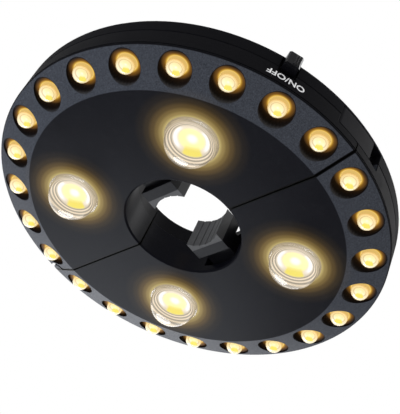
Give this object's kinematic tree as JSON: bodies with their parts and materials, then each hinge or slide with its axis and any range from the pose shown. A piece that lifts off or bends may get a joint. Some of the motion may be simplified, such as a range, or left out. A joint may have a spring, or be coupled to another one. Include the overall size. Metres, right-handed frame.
{
  "type": "clamp-on umbrella pole light",
  "caption": "Round battery light in hinged halves that clamps round a pole, with a ring of small spot lamps, large lamps, sprung jaws, a latch, a push button and folding hooks.",
  "frame": {"origin": "on the pole axis, half way up the housing", "axes": "+Z along the pole towards the back of the light, the lamps face -Z; X along the parting line, hinge at -X, latch at +X; switch half at -Y, battery half at +Y"},
  "size_m": [0.216, 0.216, 0.0441],
  "materials": {
    "shell": "fine spark-eroded grain",
    "cover": "fine spark-eroded grain",
    "spot_lens": "clear water-white dome, lit",
    "flood_lens": "clear stepped lens, lit",
    "circuit_board": "solder mask",
    "reflector": "vacuum metallised",
    "lamp_board": "white solder mask",
    "switch_body": "moulded",
    "button": "satin",
    "latch": "satin",
    "pin": "drawn wire",
    "jaw": "satin",
    "pad": "soft",
    "spring": "drawn spring wire",
    "door": "fine spark-eroded grain",
    "cell": "plain sleeve",
    "contact": "nickel plated",
    "hook": "satin",
    "screw": "blackened"
  },
  "bodies": {
    "half_a": {"face_shell_a": "shell", "back_cover_a": "cover", "spot_lenses_a": "spot_lens", "spot_board_a": "circuit_board", "flood_lenses_a": "flood_lens", "flood_reflectors_a": "reflector", "flood_boards_a": "lamp_board", "control_board": "circuit_board", "button_switch": "switch_body", "latch_pin": "pin", "hinge_pin": "pin", "jaw_spring_a": "spring", "hook_pin_a": "pin", "screws_a": "screw"},
    "half_b": {"face_shell_b": "shell", "back_cover_b": "cover", "spot_lenses_b": "spot_lens", "spot_board_b": "circuit_board", "flood_lenses_b": "flood_lens", "flood_reflectors_b": "reflector", "flood_boards_b": "lamp_board", "catch_tongue": "latch", "jaw_spring_b": "spring", "battery_cells": "cell", "battery_plates": "contact", "battery_springs": "contact", "hook_pin_b": "pin", "screws_b": "screw"},
    "latch": {"latch_tab": "latch"},
    "button": {"power_button": "button"},
    "jaw_a": {"clamp_jaw_a": "jaw", "jaw_pad_a": "pad"},
    "jaw_b": {"clamp_jaw_b": "jaw", "jaw_pad_b": "pad"},
    "door": {"battery_door": "door"},
    "hook_a": {"hang_hook_a": "hook"},
    "hook_b": {"hang_hook_b": "hook"}
  },
  "joints": [
    {"name": "clamshell_hinge", "type": "hinge", "parent": "half_a", "child": "half_b", "pos_m": [-0.1044, 0, 0], "axis": [0, 0, 1], "range_deg": [0, 90], "deforming": ["catch_tongue"]},
    {"name": "latch_pivot", "type": "hinge", "parent": "half_a", "child": "latch", "pos_m": [0.10461, -0.01285, 0], "axis": [0, 0, -1], "range_deg": [0, 35]},
    {"name": "jaw_a_slide", "type": "slide", "parent": "half_a", "child": "jaw_a", "axis": [0, -1, 0], "range_m": [0, 0.0066], "stiffness_N_per_m": 400, "springref_m": -0.006, "deforming": ["jaw_spring_a"]},
    {"name": "jaw_b_slide", "type": "slide", "parent": "half_b", "child": "jaw_b", "axis": [0, 1, 0], "range_m": [0, 0.0066], "stiffness_N_per_m": 400, "springref_m": -0.006, "deforming": ["jaw_spring_b"]},
    {"name": "button_press", "type": "slide", "parent": "half_a", "child": "button", "axis": [-0.9063, 0.4226, 0], "range_m": [0, 0.0012], "stiffness_N_per_m": 400, "springref_m": -0.001},
    {"name": "battery_door_hinge", "type": "hinge", "parent": "half_b", "child": "door", "pos_m": [0, 0.0566, 0.0133], "axis": [1, 0, 0], "range_deg": [0, 75]},
    {"name": "hook_a_fold", "type": "hinge", "parent": "half_a", "child": "hook_a", "pos_m": [-0.06343, -0.02309, 0.0124], "axis": [-0.342, 0.9397, 0], "range_deg": [0, 90]},
    {"name": "hook_b_fold", "type": "hinge", "parent": "half_b", "child": "hook_b", "pos_m": [0.06343, 0.02309, 0.0124], "axis": [0.342, -0.9397, 0], "range_deg": [0, 90]}
  ]
}
